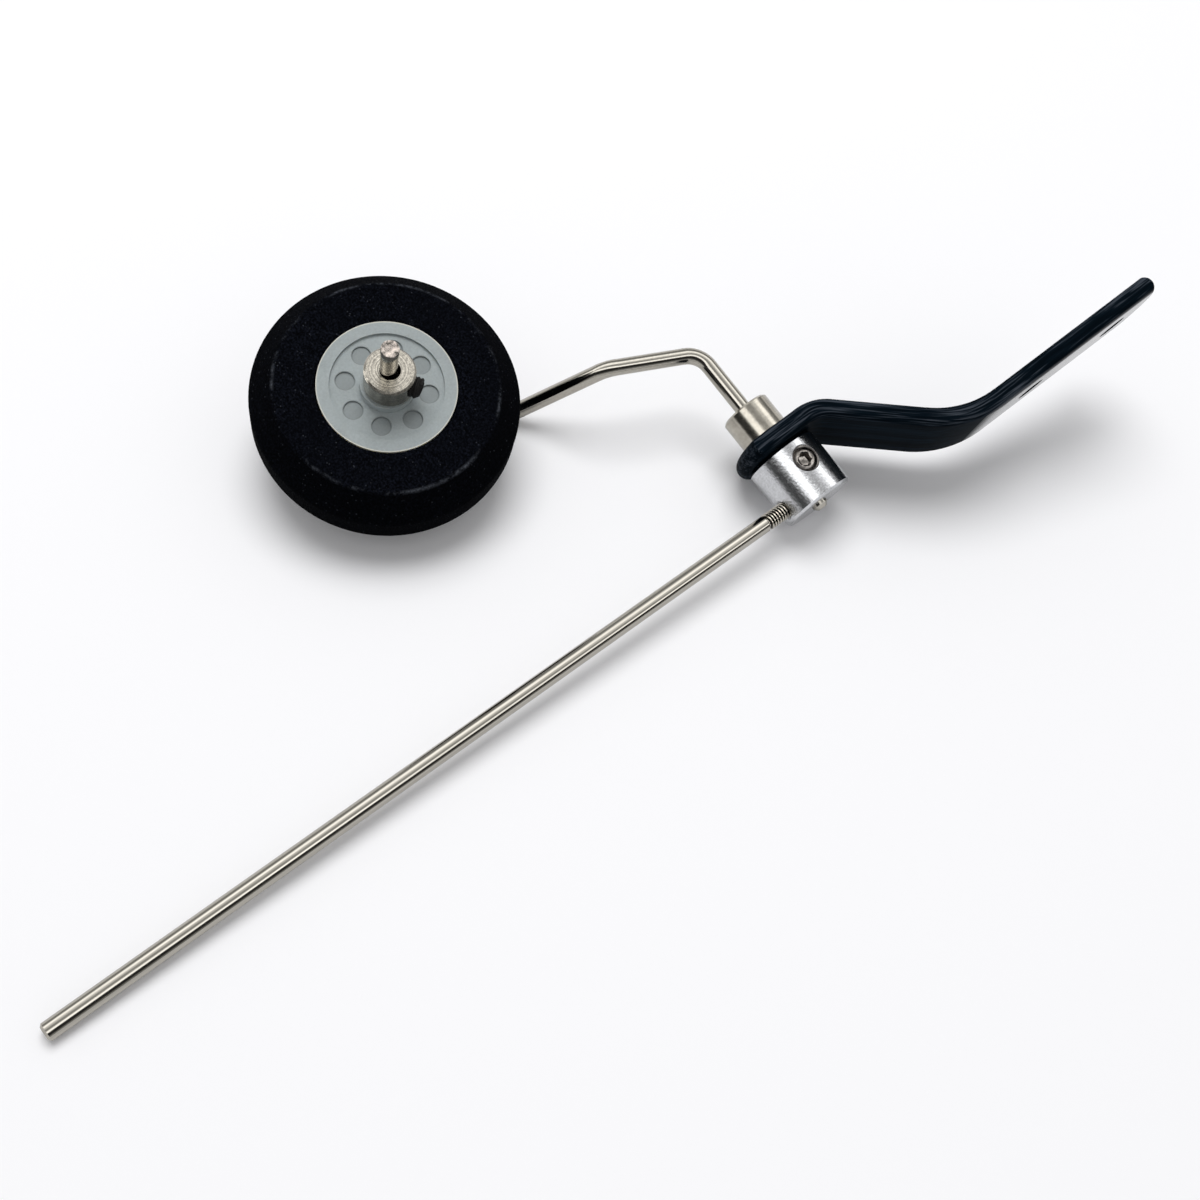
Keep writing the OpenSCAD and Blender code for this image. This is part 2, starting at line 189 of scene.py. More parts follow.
class TailwheelColours(bpy.types.PropertyGroup):
    """Colours of the finishes."""

    foam: tint("#0a0c12", "Foam", "Closed-cell foam rubber")
    nylon: tint("#9fa7a8", "Nylon", "Moulded wheel hub")
    carbon: tint("#0c1720", "Carbon", "Laminate of the leaf")
    wire: tint("#a8a49b", "Wire", "Bright spring wire")
    nickel: tint("#b4afa4", "Nickel", "Plated collars")
    aluminium: tint("#c4c5c7", "Aluminium", "Machined steering hub")
    screw: tint("#8f8a85", "Screw", "Bright set screws")
    oxide: tint("#060606", "Black oxide", "Black set screw")
    brass: tint("#c2a25c", "Brass", "Pivot bush")
    floor: tint("#f4f4f6", "Floor", "Table top under the part")


def settings():
    """Gives the sizes and colours in use."""
    scene = bpy.context.scene
    return scene.tailwheel_sizes, scene.tailwheel_colours


def feed(tree, node, inputs):
    """Sets a node's sockets: a socket given as the value is linked, anything else is a fixed value."""
    for socket, value in inputs.items():
        if isinstance(value, bpy.types.NodeSocket):
            tree.links.new(value, node.inputs[socket])
        else:
            node.inputs[socket].default_value = value


def add(tree, kind, inputs, **options):
    """Adds a node with its options, fixed inputs and links."""
    node = tree.nodes.new(kind)
    for name, value in options.items():
        setattr(node, name, value)
    feed(tree, node, inputs)
    return node


def per(mm):
    """Texture scale at which one feature is this many millimetres wide."""
    return 1 / (mm * MM)


def rgba(colour, gain=1.0):
    """A colour with its alpha, made lighter or darker by a gain."""
    return [min(1.0, c * gain) for c in colour[:3]] + [1.0]


def start_material(name, inputs):
    """A new material with its shader's fixed values, its tree, its shader and its object coordinates."""
    material = bpy.data.materials.new(name)
    material.use_nodes = True
    tree = material.node_tree
    shader = tree.nodes["Principled BSDF"]
    feed(tree, shader, inputs)
    coords = add(tree, "ShaderNodeTexCoord", {}).outputs["Object"]
    return material, tree, shader, coords


def frame_along(origin, direction):
    """A frame at origin whose Z axis points along direction."""
    turn = direction.to_track_quat("Z", "Y")
    return Matrix.Translation(origin) @ turn.to_matrix().to_4x4()


def local(tree, coords, place):
    """Object coordinates seen from a frame, so that a pattern follows a turned or drawn axis."""
    return add(tree, "ShaderNodeMapping", {
        "Vector": coords,
        "Location": place.translation,
        "Rotation": place.to_euler(),
    }, vector_type="TEXTURE").outputs["Vector"]


def around_axis(tree, coords, place):
    """A frame's own coordinates, by name, and the distance from its Z axis."""
    xyz = add(tree, "ShaderNodeSeparateXYZ", {"Vector": local(tree, coords, place)}).outputs
    flat = add(tree, "ShaderNodeCombineXYZ", {"X": xyz["X"], "Y": xyz["Y"]})
    radius = add(tree, "ShaderNodeVectorMath", {0: flat.outputs[0]}, operation="LENGTH")
    return xyz, radius.outputs["Value"]


def closed_cell_foam(colour, edge_r):
    """Matt moulded foam rubber: a blue-black skin of fine cells, with dust specks and a scuffed edge."""
    material, tree, shader, coords = start_material("Closed-cell foam rubber", {
        "Roughness": 0.95,
        "Specular IOR Level": 0.015,
    })
    cells = add(tree, "ShaderNodeTexVoronoi", {"Vector": coords, "Scale": per(0.3)})
    grain = add(tree, "ShaderNodeTexNoise", {
        "Vector": coords, "Scale": per(0.22), "Detail": 4.0, "Roughness": 0.75,
    })
    spread = add(tree, "ShaderNodeMapRange", {
        "Value": grain.outputs["Fac"], "From Min": 0.46, "From Max": 0.68,
    })
    patches = add(tree, "ShaderNodeTexNoise", {"Vector": coords, "Scale": per(6.0), "Detail": 2.0})
    skin = add(tree, "ShaderNodeMix", {
        "Factor": spread.outputs["Result"], MIX_A: rgba(colour, 0.05), MIX_B: rgba(colour, 4.5),
    }, data_type="RGBA")
    worn = add(tree, "ShaderNodeMix", {
        "Factor": patches.outputs["Fac"], MIX_A: skin.outputs[MIX_OUT], MIX_B: rgba(colour, 0.5),
    }, data_type="RGBA")
    # the shoulder and the tread are painted blacker than the side
    _, radius = around_axis(tree, coords, WHEEL)
    off = add(tree, "ShaderNodeMath", {0: radius, 1: edge_r}, operation="SUBTRACT")
    cut = add(tree, "ShaderNodeMapRange", {
        "Value": off.outputs[0], "From Min": 0.0, "From Max": 0.3 * MM, "To Min": 0.0, "To Max": 0.6,
    })
    blackened_tread = add(tree, "ShaderNodeMix", {
        "Factor": cut.outputs["Result"], MIX_A: worn.outputs[MIX_OUT], MIX_B: rgba(colour, 0.12),
    }, data_type="RGBA")
    # dust caught in the cells
    specks = add(tree, "ShaderNodeTexVoronoi", {"Vector": coords, "Scale": per(0.4)})
    close = add(tree, "ShaderNodeMapRange", {
        "Value": specks.outputs["Distance"], "From Min": 0.06, "From Max": 0.26, "To Min": 1.0,
        "To Max": 0.0,
    })
    caught = add(tree, "ShaderNodeMapRange", {
        "Value": specks.outputs["Color"], "From Min": 0.62, "From Max": 0.85, "To Min": 0.0, "To Max": 0.4,
    })
    spot = add(tree, "ShaderNodeMath", {
        0: close.outputs["Result"], 1: caught.outputs["Result"],
    }, operation="MULTIPLY")
    # pale scuffs along the edge between side and shoulder
    away = add(tree, "ShaderNodeMath", {0: off.outputs[0]}, operation="ABSOLUTE")
    near = add(tree, "ShaderNodeMapRange", {
        "Value": away.outputs[0], "From Min": 0.0, "From Max": 0.28 * MM, "To Min": 1.0, "To Max": 0.0,
    })
    rub = add(tree, "ShaderNodeTexNoise", {
        "Vector": coords, "Scale": per(0.8), "Detail": 6.0, "Roughness": 0.8,
    })
    where = add(tree, "ShaderNodeTexNoise", {"Vector": coords, "Scale": per(9.0), "Detail": 1.0})
    both = add(tree, "ShaderNodeMath", {
        0: rub.outputs["Fac"], 1: where.outputs["Fac"],
    }, operation="MULTIPLY")
    rubbed = add(tree, "ShaderNodeMapRange", {
        "Value": both.outputs[0], "From Min": 0.24, "From Max": 0.4, "To Min": 0.0, "To Max": 0.8,
    })
    scuff = add(tree, "ShaderNodeMath", {
        0: near.outputs["Result"], 1: rubbed.outputs["Result"],
    }, operation="MULTIPLY")
    pale = add(tree, "ShaderNodeMath", {0: spot.outputs[0], 1: scuff.outputs[0]}, operation="MAXIMUM")
    dusty = add(tree, "ShaderNodeMix", {
        "Factor": pale.outputs[0], MIX_A: blackened_tread.outputs[MIX_OUT], MIX_B: rgba(linear("#5c6068")),
    }, data_type="RGBA")
    rough = add(tree, "ShaderNodeMath", {
        0: cells.outputs["Distance"], 1: grain.outputs["Fac"],
    }, operation="ADD")
    bump = add(tree, "ShaderNodeBump", {"Height": rough.outputs[0], "Strength": 0.6, "Distance": 0.12 * MM})
    feed(tree, shader, {"Base Color": dusty.outputs[MIX_OUT], "Normal": bump.outputs["Normal"]})
    return material


def moulded_nylon(colour):
    """Natural nylon, injection moulded: milky, with darker discs at the pin marks and a pale line painted
    along the rim's edge as a highlight.
    """
    material, tree, shader, coords = start_material("Moulded natural nylon", {
        "Subsurface Weight": 0.4,
        "Subsurface Radius": (0.9, 0.8, 0.65),
        "Subsurface Scale": 0.6 * MM,
        "IOR": 1.53,
        "Specular IOR Level": 0.3,
    })
    flow = add(tree, "ShaderNodeTexNoise", {"Vector": coords, "Scale": per(2.5), "Detail": 4.0})
    grain = add(tree, "ShaderNodeTexNoise", {"Vector": coords, "Scale": per(0.25), "Detail": 2.0})
    cloud = add(tree, "ShaderNodeMix", {
        "Factor": 0.55, "A": flow.outputs["Fac"], "B": grain.outputs["Fac"],
    })
    milk = add(tree, "ShaderNodeMix", {
        "Factor": cloud.outputs["Result"], MIX_A: rgba(colour, 0.66), MIX_B: rgba(colour, 1.26),
    }, data_type="RGBA")
    # the pin marks, found from the angle and the distance to the nearest one
    xyz, radius = around_axis(tree, coords, WHEEL)
    angle = add(tree, "ShaderNodeMath", {0: xyz["Y"], 1: xyz["X"]}, operation="ARCTAN2")
    turned = add(tree, "ShaderNodeMath", {0: angle.outputs[0], 1: PIN_TURN}, operation="ADD")
    step = math.pi / PIN_COUNT
    share = add(tree, "ShaderNodeMath", {0: turned.outputs[0], 1: step, 2: -step}, operation="WRAP")
    cosine = add(tree, "ShaderNodeMath", {0: share.outputs[0]}, operation="COSINE")
    sine = add(tree, "ShaderNodeMath", {0: share.outputs[0]}, operation="SINE")
    out = add(tree, "ShaderNodeMath", {
        0: radius, 1: cosine.outputs[0], 2: -PIN_CIRCLE_R,
    }, operation="MULTIPLY_ADD")
    side = add(tree, "ShaderNodeMath", {0: radius, 1: sine.outputs[0]}, operation="MULTIPLY")
    spot = add(tree, "ShaderNodeCombineXYZ", {"X": out.outputs[0], "Y": side.outputs[0]})
    away = add(tree, "ShaderNodeVectorMath", {0: spot.outputs[0]}, operation="LENGTH").outputs["Value"]
    disc = add(tree, "ShaderNodeMapRange", {
        "Value": away, "From Min": PIN_R - 0.08 * MM, "From Max": PIN_R, "To Min": 0.55, "To Max": 0.0,
    })
    thin = add(tree, "ShaderNodeMix", {
        "Factor": disc.outputs["Result"], MIX_A: milk.outputs[MIX_OUT], MIX_B: rgba(colour, 0.55),
    }, data_type="RGBA")
    off = add(tree, "ShaderNodeMath", {0: away, 1: PIN_R, 2: 0.09 * MM}, operation="COMPARE")
    line = add(tree, "ShaderNodeMath", {0: off.outputs[0], 1: 0.5}, operation="MULTIPLY")
    ringed = add(tree, "ShaderNodeMix", {
        "Factor": line.outputs[0], MIX_A: thin.outputs[MIX_OUT], MIX_B: rgba(colour, 0.35),
    }, data_type="RGBA")
    # a pale cream line painted along the rim's edge as a highlight
    edge = add(tree, "ShaderNodeMapRange", {
        "Value": radius, "From Min": RIM_EDGE_R - 0.12 * MM, "From Max": RIM_EDGE_R, "To Min": 0.0,
        "To Max": 0.6,
    })
    rim_edge_highlight = add(tree, "ShaderNodeMix", {
        "Factor": edge.outputs["Result"], MIX_A: ringed.outputs[MIX_OUT], MIX_B: rgba(linear("#e9e4d2")),
    }, data_type="RGBA")
    gloss = add(tree, "ShaderNodeMapRange", {
        "Value": flow.outputs["Fac"], "From Min": 0.3, "From Max": 0.7, "To Min": 0.34, "To Max": 0.5,
    })
    bump = add(tree, "ShaderNodeBump", {
        "Height": grain.outputs["Fac"], "Strength": 0.15, "Distance": 0.02 * MM,
    })
    feed(tree, shader, {
        "Base Color": rim_edge_highlight.outputs[MIX_OUT], "Roughness": gloss.outputs["Result"],
        "Normal": bump.outputs["Normal"],
    })
    return material


def carbon_laminate(colour):
    """Carbon-fibre bar bound in epoxy: satin blue-black, with grey fibre ends where its edges were cut, and
    grey streaks along its long edges that are partly a painted sheen.
    """
    material, tree, shader, coords = start_material("Carbon-fibre laminate", {})
    # the pattern follows the leaf up its ramp
    xyz = add(tree, "ShaderNodeSeparateXYZ", {"Vector": coords})
    ramp = add(tree, "ShaderNodeMath", {
        0: xyz.outputs["X"], 1: RAMP_SLOPE, 2: -RAMP_SLOPE * RAMP_START,
    }, operation="MULTIPLY_ADD")
    foot = add(tree, "ShaderNodeMath", {0: ramp.outputs[0], 1: 0.0, 2: RAMP_FOOT}, operation="SMOOTH_MAX")
    path = add(tree, "ShaderNodeMath", {
        0: foot.outputs[0], 1: -PIVOT.z, 2: RAMP_HEAD,
    }, operation="SMOOTH_MIN")
    depth = add(tree, "ShaderNodeMath", {0: xyz.outputs["Z"], 1: path.outputs[0]}, operation="SUBTRACT")
    along = add(tree, "ShaderNodeMath", {0: xyz.outputs["X"], 1: 0.05}, operation="MULTIPLY")
    lay = add(tree, "ShaderNodeCombineXYZ", {
        "X": along.outputs[0], "Y": xyz.outputs["Y"], "Z": depth.outputs[0],
    })
    fibre = add(tree, "ShaderNodeTexNoise", {"Vector": lay.outputs[0], "Scale": per(0.2), "Detail": 4.0})
    bundle = add(tree, "ShaderNodeTexNoise", {"Vector": lay.outputs[0], "Scale": per(0.8), "Detail": 2.0})
    both = add(tree, "ShaderNodeMath", {
        0: fibre.outputs["Fac"], 1: bundle.outputs["Fac"],
    }, operation="MULTIPLY")
    streak = add(tree, "ShaderNodeMapRange", {"Value": both.outputs[0], "From Min": 0.16, "From Max": 0.42})
    resin = add(tree, "ShaderNodeMix", {
        "Factor": streak.outputs["Result"], MIX_A: rgba(colour, 0.4), MIX_B: rgba(colour, 1.5),
    }, data_type="RGBA")
    # grey painted on the long edges and at the two ends: cut fibres at the ends; on the long edges partly
    # cut fibres and partly a painted sheen
    low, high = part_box("leaf_bracket")
    middle = Vector(low).lerp(high, 0.5)
    half = (high.x - low.x) / 2
    width = (high.y - low.y) / 2
    side = add(tree, "ShaderNodeMath", {0: xyz.outputs["Y"]}, operation="ABSOLUTE")
    edge = add(tree, "ShaderNodeMapRange", {
        "Value": side.outputs[0], "From Min": width - 0.9 * MM, "From Max": width,
    })
    out = add(tree, "ShaderNodeMath", {0: xyz.outputs["X"], 1: middle.x}, operation="SUBTRACT")
    far = add(tree, "ShaderNodeMath", {0: out.outputs[0]}, operation="ABSOLUTE")
    end = add(tree, "ShaderNodeMapRange", {
        "Value": far.outputs[0], "From Min": half - 2.2 * MM, "From Max": half,
    })
    cut = add(tree, "ShaderNodeMath", {
        0: edge.outputs["Result"], 1: end.outputs["Result"],
    }, operation="MAXIMUM")
    torn = add(tree, "ShaderNodeMapRange", {
        "Value": both.outputs[0], "From Min": 0.24, "From Max": 0.36, "To Min": 0.0, "To Max": 0.75,
    })
    cut_fibres_and_painted_sheen = add(tree, "ShaderNodeMath", {
        0: cut.outputs[0], 1: torn.outputs["Result"],
    }, operation="MULTIPLY")
    tone = add(tree, "ShaderNodeMix", {
        "Factor": cut_fibres_and_painted_sheen.outputs[0], MIX_A: resin.outputs[MIX_OUT], MIX_B: rgba(linear("#4a4f57")),
    }, data_type="RGBA")
    # the mounting face took the shine of the mould; the rest was dulled with fine paper
    sheen = add(tree, "ShaderNodeMapRange", {
        "Value": xyz.outputs["Z"], "From Min": -0.3 * MM, "From Max": -0.04 * MM, "To Min": 0.004,
        "To Max": 0.5,
    })
    gloss = add(tree, "ShaderNodeMapRange", {
        "Value": xyz.outputs["Z"], "From Min": -0.3 * MM, "From Max": -0.04 * MM, "To Min": 0.42,
        "To Max": 0.16,
    })
    bump = add(tree, "ShaderNodeBump", {"Height": both.outputs[0], "Strength": 0.2, "Distance": 0.03 * MM})
    feed(tree, shader, {
        "Base Color": tone.outputs[MIX_OUT], "Roughness": gloss.outputs["Result"],
        "Specular IOR Level": sheen.outputs["Result"], "Normal": bump.outputs["Normal"],
    })
    return material


def drawn_wire(name, colour, place, stretch):
    """Drawn spring wire with a thin bright plating: fine die lines run along it, with faint dull stains."""
    material, tree, shader, coords = start_material(name, {"Metallic": 1.0})
    xyz = add(tree, "ShaderNodeSeparateXYZ", {"Vector": local(tree, coords, place)})
    along = add(tree, "ShaderNodeMath", {0: xyz.outputs["Z"], 1: stretch}, operation="MULTIPLY")
    drawn = add(tree, "ShaderNodeCombineXYZ", {
        "X": xyz.outputs["X"], "Y": xyz.outputs["Y"], "Z": along.outputs[0],
    })
    lines = add(tree, "ShaderNodeTexNoise", {"Vector": drawn.outputs[0], "Scale": per(0.2), "Detail": 3.0})
    stain = add(tree, "ShaderNodeTexNoise", {
        "Vector": coords, "Scale": per(2.5), "Detail": 4.0, "Roughness": 0.6,
    })
    tone = add(tree, "ShaderNodeMix", {
        "Factor": lines.outputs["Fac"], MIX_A: rgba(colour, 0.7), MIX_B: rgba(colour, 1.25),
    }, data_type="RGBA")
    gloss = add(tree, "ShaderNodeMapRange", {
        "Value": stain.outputs["Fac"], "From Min": 0.3, "From Max": 0.7, "To Min": 0.07, "To Max": 0.13,
    })
    bump = add(tree, "ShaderNodeBump", {
        "Height": lines.outputs["Fac"], "Strength": 0.12, "Distance": 0.015 * MM,
    })
    feed(tree, shader, {
        "Base Color": tone.outputs[MIX_OUT], "Roughness": gloss.outputs["Result"],
        "Normal": bump.outputs["Normal"],
    })
    return material


def rolled_thread(colour, place, root, crest):
    """Thread rolled on the rod: crests painted bright as a highlight between roots painted dark as shade.
    """
    material, tree, shader, coords = start_material("Rolled thread", {"Metallic": 1.0})
    _, radius = around_axis(tree, coords, place)
    wear = add(tree, "ShaderNodeTexNoise", {"Vector": coords, "Scale": per(0.5), "Detail": 3.0})
    # the roots are painted dark as shade and the crests bright as a highlight, by the distance from the
    # rod's axis
    high = add(tree, "ShaderNodeMapRange", {
        "Value": radius, "From Min": root + (crest - root) * 0.45, "From Max": crest * 0.99,
    })
    painted_root_shade_and_crest_highlight = add(tree, "ShaderNodeMix", {
        "Factor": high.outputs["Result"], MIX_A: rgba(colour, 0.06), MIX_B: rgba(colour, 1.6),
    }, data_type="RGBA")
    gloss = add(tree, "ShaderNodeMapRange", {
        "Value": wear.outputs["Fac"], "From Min": 0.3, "From Max": 0.7, "To Min": 0.14, "To Max": 0.26,
    })
    feed(tree, shader, {"Base Color": painted_root_shade_and_crest_highlight.outputs[MIX_OUT], "Roughness": gloss.outputs["Result"]})
    return material


def turned_metal(name, colour, place, pitch, roughness, depth, blotch, grit, score, dull_r=1.0):
    """Metal turned in a lathe: rings on the ends, fine bands on the sides, stains as wide as the blotch,
    grit that breaks up its reflections, tool marks as dark as the score, and a duller skin beyond the dull
    radius. Pitch and blotch are in millimetres. A dull radius of one metre leaves all of it bright."""
    material, tree, shader, coords = start_material(name, {"Metallic": 1.0})
    xyz, radius = around_axis(tree, coords, place)
    path = add(tree, "ShaderNodeCombineXYZ", {"X": radius, "Y": xyz["Z"]})
    rings = add(tree, "ShaderNodeTexNoise", {"Vector": path.outputs[0], "Scale": per(pitch), "Detail": 2.0})
    stain = add(tree, "ShaderNodeTexNoise", {
        "Vector": coords, "Scale": per(blotch), "Detail": 5.0, "Roughness": 0.7,
    })
    spread = add(tree, "ShaderNodeMapRange", {
        "Value": stain.outputs["Fac"], "From Min": 0.3, "From Max": 0.7,
    })
    tone = add(tree, "ShaderNodeMix", {
        "Factor": spread.outputs["Result"], MIX_A: rgba(colour, 0.8 - score / 2),
        MIX_B: rgba(colour, 1.17 + score / 4),
    }, data_type="RGBA")
    lathe = add(tree, "ShaderNodeMapRange", {
        "Value": rings.outputs["Fac"], "From Min": 0.3, "From Max": 0.7, "To Min": 1 - score,
        "To Max": 1 + score / 2,
    })
    dull = add(tree, "ShaderNodeMapRange", {
        "Value": radius, "From Min": dull_r, "From Max": dull_r + 0.06 * MM, "To Min": 1.0, "To Max": 0.6,
    })
    shade = add(tree, "ShaderNodeMath", {
        0: lathe.outputs["Result"], 1: dull.outputs["Result"],
    }, operation="MULTIPLY")
    banded = add(tree, "ShaderNodeVectorMath", {
        0: tone.outputs[MIX_OUT], "Scale": shade.outputs[0],
    }, operation="SCALE")
    gloss = add(tree, "ShaderNodeMapRange", {
        "Value": stain.outputs["Fac"], "From Min": 0.3, "From Max": 0.7, "To Min": roughness * 0.85,
        "To Max": roughness * 1.2,
    })
    grains = add(tree, "ShaderNodeTexNoise", {"Vector": coords, "Scale": per(0.3), "Detail": 3.0})
    blasted = add(tree, "ShaderNodeBump", {
        "Height": grains.outputs["Fac"], "Strength": grit, "Distance": 0.03 * MM,
    })
    bump = add(tree, "ShaderNodeBump", {
        "Height": rings.outputs["Fac"], "Strength": depth, "Distance": 0.03 * MM,
        "Normal": blasted.outputs["Normal"],
    })
    feed(tree, shader, {
        "Base Color": banded.outputs["Vector"], "Roughness": gloss.outputs["Result"],
        "Normal": bump.outputs["Normal"],
    })
    return material


def screw_steel(name, colour, place):
    """Bright steel of a set screw, scored by the key and the lathe."""
    return turned_metal(name, colour, place, pitch=0.1, roughness=0.18, depth=0.2, blotch=0.4, grit=0.3,
                        score=0.3)


def snipped_metal(colour, top):
    """Wire end left by side cutters: torn pinkish grey with dark pits, above a thin band painted black as a
    dark reflection.
    """
    material, tree, shader, coords = start_material("Snipped wire end", {"Roughness": 0.45})
    pits = add(tree, "ShaderNodeTexNoise", {
        "Vector": coords, "Scale": per(0.6), "Detail": 5.0, "Roughness": 0.7,
    })
    spread = add(tree, "ShaderNodeMapRange", {
        "Value": pits.outputs["Fac"], "From Min": 0.4, "From Max": 0.62,
    })
    tone = add(tree, "ShaderNodeMix", {
        "Factor": spread.outputs["Result"], MIX_A: rgba(colour, 0.2), MIX_B: rgba(linear("#e2d6cd")),
    }, data_type="RGBA")
    xyz = add(tree, "ShaderNodeSeparateXYZ", {"Vector": local(tree, coords, WHEEL)})
    # a thin band under the end is painted black as a dark reflection, and it is not metallic
    painted_dark_reflection = add(tree, "ShaderNodeMapRange", {
        "Value": xyz.outputs["Z"], "From Min": top - 0.06 * MM, "From Max": top, "To Min": 0.9,
        "To Max": 0.0,
    })
    black = add(tree, "ShaderNodeMix", {
        "Factor": painted_dark_reflection.outputs["Result"], MIX_A: tone.outputs[MIX_OUT], MIX_B: rgba(colour, 0.05),
    }, data_type="RGBA")
    bump = add(tree, "ShaderNodeBump", {
        "Height": pits.outputs["Fac"], "Strength": 0.8, "Distance": 0.15 * MM,
    })
    bare = add(tree, "ShaderNodeMath", {0: 1.0, 1: painted_dark_reflection.outputs["Result"]}, operation="SUBTRACT")
    feed(tree, shader, {
        "Base Color": black.outputs[MIX_OUT], "Metallic": bare.outputs[0], "Normal": bump.outputs["Normal"],
    })
    return material


def oxide_steel(colour):
    """Black oxide on steel: a thin oily black, a little brown where it is rubbed."""
    material, tree, shader, coords = start_material("Black oxide steel", {
        "Roughness": 0.5,
        "Specular IOR Level": 0.15,
    })
    rub = add(tree, "ShaderNodeTexNoise", {"Vector": coords, "Scale": per(0.5), "Detail": 4.0})
    tone = add(tree, "ShaderNodeMix", {
        "Factor": rub.outputs["Fac"], MIX_A: rgba(colour, 0.5), MIX_B: rgba(linear("#1a1817")),
    }, data_type="RGBA")
    bump = add(tree, "ShaderNodeBump", {
        "Height": rub.outputs["Fac"], "Strength": 0.2, "Distance": 0.02 * MM,
    })
    feed(tree, shader, {"Base Color": tone.outputs[MIX_OUT], "Normal": bump.outputs["Normal"]})
    return material


def table_top(colour, place):
    """Pale table: seen from its own side only, and fading out round the part."""
    material, tree, shader, coords = start_material("Pale table top", {
        "Base Color": rgba(colour),
        "Roughness": 0.9,
        "Specular IOR Level": 0.1,
        "Emission Color": rgba(colour),
        "Emission Strength": 0.05,
    })
    side = add(tree, "ShaderNodeNewGeometry", {})
    _, reach = around_axis(tree, coords, place)
    fade = add(tree, "ShaderNodeMapRange", {
        "Value": reach, "From Min": 0.16, "From Max": 0.42, "To Min": 1.0, "To Max": 0.0,
    }, interpolation_type="SMOOTHSTEP")
    front = add(tree, "ShaderNodeMath", {0: 1.0, 1: side.outputs["Backfacing"]}, operation="SUBTRACT")
    seen = add(tree, "ShaderNodeMath", {
        0: front.outputs[0], 1: fade.outputs["Result"],
    }, operation="MULTIPLY")
    feed(tree, shader, {"Alpha": seen.outputs[0]})
    return material


def tent_cloth(place):
    """Grey cloth of the light tent, with two bright strips and a dark gap: gives the metal its bands."""
    material, tree, shader, coords = start_material("Grey tent cloth", {
        "Base Color": (0.0, 0.0, 0.0, 1.0),
        "Roughness": 1.0,
        "Specular IOR Level": 0.0,
        "Emission Strength": 2.5,
    })
    xyz = add(tree, "ShaderNodeSeparateXYZ", {"Vector": local(tree, coords, place)})
    height = add(tree, "ShaderNodeMath", {0: xyz.outputs["Y"], 1: xyz.outputs["Z"]}, operation="ARCTAN2")
    share = add(tree, "ShaderNodeMapRange", {
        "Value": height.outputs[0], "From Min": -math.pi / 2, "From Max": math.pi / 2,
    })
    bands = add(tree, "ShaderNodeValToRGB", {"Fac": share.outputs["Result"]})
    ramp = bands.color_ramp
    while len(ramp.elements) < len(TENT_LEVELS):
        ramp.elements.new(0.5)
    for element, (angle, level) in zip(ramp.elements, TENT_LEVELS):
        element.position = (angle + 90) / 180
        element.color = (level, level, level, 1.0)
    feed(tree, shader, {"Emission Color": bands.outputs["Color"]})
    return material


def lie_under(table, pieces, normal, gap):
    """Slides a table along its normal to the lowest piece, so that nothing dips through it at any pose."""
    tree = bpy.data.node_groups.new("table_under_part", "GeometryNodeTree")
    for way in ("INPUT", "OUTPUT"):
        tree.interface.new_socket("Geometry", in_out=way, socket_type="NodeSocketGeometry")
    start = add(tree, "NodeGroupInput", {})
    joined = add(tree, "GeometryNodeJoinGeometry", {})
    for piece in pieces:
        info = add(tree, "GeometryNodeObjectInfo", {"Object": piece}, transform_space="RELATIVE")
        tree.links.new(info.outputs["Geometry"], joined.inputs["Geometry"])
    spot = add(tree, "GeometryNodeInputPosition", {})
    height = add(tree, "ShaderNodeVectorMath", {0: spot.outputs[0], 1: normal}, operation="DOT_PRODUCT")
    heights = add(tree, "GeometryNodeAttributeStatistic", {
        "Geometry": joined.outputs["Geometry"], "Attribute": height.outputs["Value"],
    })
    level = add(tree, "ShaderNodeMath", {0: heights.outputs["Min"], 1: gap}, operation="SUBTRACT")
    shift = add(tree, "ShaderNodeVectorMath", {0: normal, "Scale": level.outputs[0]}, operation="SCALE")
    moved = add(tree, "GeometryNodeSetPosition", {"Geometry": start.outputs[0], "Offset": shift.outputs[0]})
    add(tree, "NodeGroupOutput", {"Geometry": moved.outputs["Geometry"]})
    table.modifiers.new("under_part", "NODES").node_group = tree


def paint(node, material):
    """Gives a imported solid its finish."""
    data = NODES[node].data
    data.materials.clear()
    data.materials.append(material)


def make_object(mesh, name, material):
    """Turns a bmesh into an object of the scene with one material."""
    data = bpy.data.meshes.new(name)
    mesh.to_mesh(data)
    mesh.free()
    data.materials.append(material)
    item = bpy.data.objects.new(name, data)
    bpy.context.scene.collection.objects.link(item)
    return item


def weld(mesh):
    """Joins vertices that lie on each other and turns the faces outwards."""
    bmesh.ops.remove_doubles(mesh, verts=mesh.verts, dist=WELD)
    bmesh.ops.recalc_face_normals(mesh, faces=mesh.faces)


def finish_mesh(mesh, name, material, body, smooth_angle):
    """Closes a bmesh into an object that rides on a body, smooth where it bends by less than the angle."""
    weld(mesh)
    piece = make_object(mesh, name, material)
    piece.data.shade_smooth()
    piece.data.set_sharp_from_angle(angle=math.radians(smooth_angle))
    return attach(piece, body)


def outline(mesh, points):
    """Joins points into a closed row of edges."""
    verts = [mesh.verts.new(point) for point in points]
    edges = [mesh.edges.new(pair) for pair in zip(verts, verts[1:] + verts[:1])]
    return verts + edges


def circle_ring(radius, height):
    """A round ring for a loft."""
    return lambda angle: Vector((radius * math.cos(angle), radius * math.sin(angle), height))


def hex_ring(across, height):
    """A hexagonal ring for a loft, by its size across the flats."""
    def place(angle):
        reach = across / 2 / math.cos((angle + math.pi / 6) % (math.pi / 3) - math.pi / 6)
        return Vector((reach * math.cos(angle), reach * math.sin(angle), height))
    return place


